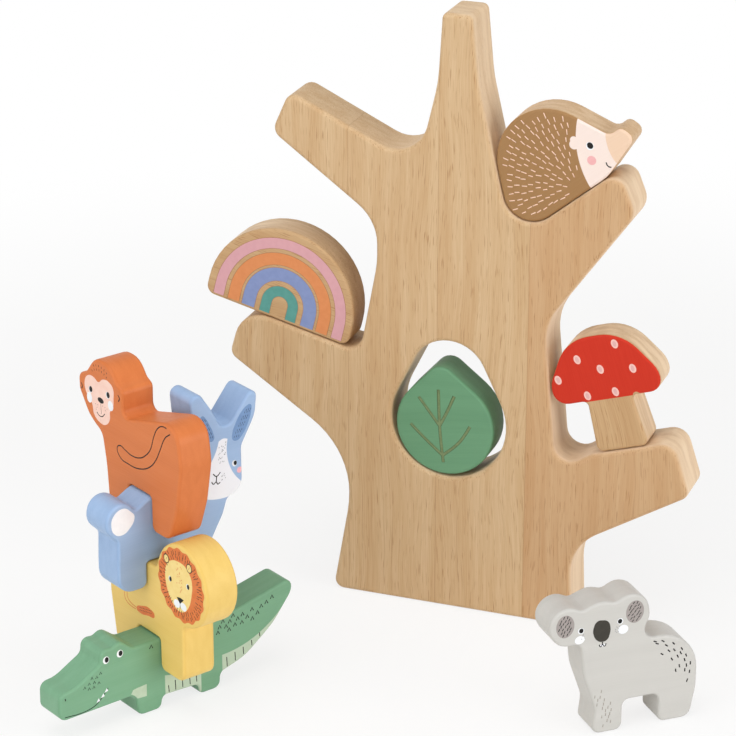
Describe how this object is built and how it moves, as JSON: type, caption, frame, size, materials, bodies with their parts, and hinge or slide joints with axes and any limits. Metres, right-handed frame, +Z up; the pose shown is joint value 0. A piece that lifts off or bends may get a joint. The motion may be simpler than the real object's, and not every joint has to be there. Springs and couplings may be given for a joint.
{
  "type": "stacking balance toy",
  "caption": "Forked wooden tree board with flat animal and nature blocks that balance in its branches, rest in its window and straddle each other in a stack.",
  "frame": {"origin": "middle of the tree's foot, where it stands on the floor", "axes": "+Z up, -Y towards the printed front, +X to the right as seen from the front"},
  "size_m": [0.2456, 0.1863, 0.26],
  "materials": {
    "tree_wood": "clear matt lacquer on pale hardwood",
    "leaf_green": "satin green stain",
    "rainbow_wood": "natural wood with printed coloured bands",
    "mushroom_wood": "natural wood with a printed red cap",
    "hedgehog_wood": "natural wood with a printed face and coat",
    "alligator_green": "satin green stain with print",
    "lion_yellow": "satin yellow stain with print",
    "bunny_blue": "satin blue stain with print",
    "monkey_orange": "satin orange-brown stain with print",
    "koala_grey": "satin grey stain with print"
  },
  "bodies": {
    "tree": {"tree": "tree_wood"},
    "leaf": {"leaf": "leaf_green"},
    "rainbow": {"rainbow": "rainbow_wood"},
    "mushroom": {"mushroom": "mushroom_wood"},
    "hedgehog": {"hedgehog": "hedgehog_wood"},
    "alligator": {"alligator": "alligator_green"},
    "lion": {"lion": "lion_yellow"},
    "bunny": {"bunny": "bunny_blue"},
    "monkey": {"monkey": "monkey_orange"},
    "koala": {"koala": "koala_grey"}
  },
  "joints": [
    {"name": "leaf_pull", "type": "slide", "parent": "tree", "child": "leaf", "axis": [0, -0.9816, 0.1908], "range_m": [0, 0.045]},
    {"name": "rainbow_lift", "type": "slide", "parent": "tree", "child": "rainbow", "axis": [0, -0.9063, 0.4226], "range_m": [0, 0.05]},
    {"name": "mushroom_lift", "type": "slide", "parent": "tree", "child": "mushroom", "axis": [0, -0.9063, 0.4226], "range_m": [0, 0.05]},
    {"name": "hedgehog_lift", "type": "slide", "parent": "tree", "child": "hedgehog", "axis": [0, 0, 1], "range_m": [0, 0.06]},
    {"name": "alligator_lift", "type": "slide", "parent": "tree", "child": "alligator", "axis": [0, 0, 1], "range_m": [0, 0.05]},
    {"name": "lion_lift", "type": "slide", "parent": "alligator", "child": "lion", "axis": [0, 0, 1], "range_m": [0, 0.045]},
    {"name": "bunny_lift", "type": "slide", "parent": "lion", "child": "bunny", "axis": [0, 0, 1], "range_m": [0, 0.05]},
    {"name": "monkey_lift", "type": "slide", "parent": "bunny", "child": "monkey", "axis": [0, 0, 1], "range_m": [0, 0.06]},
    {"name": "koala_lift", "type": "slide", "parent": "tree", "child": "koala", "axis": [0, 0, 1], "range_m": [0, 0.06]}
  ]
}
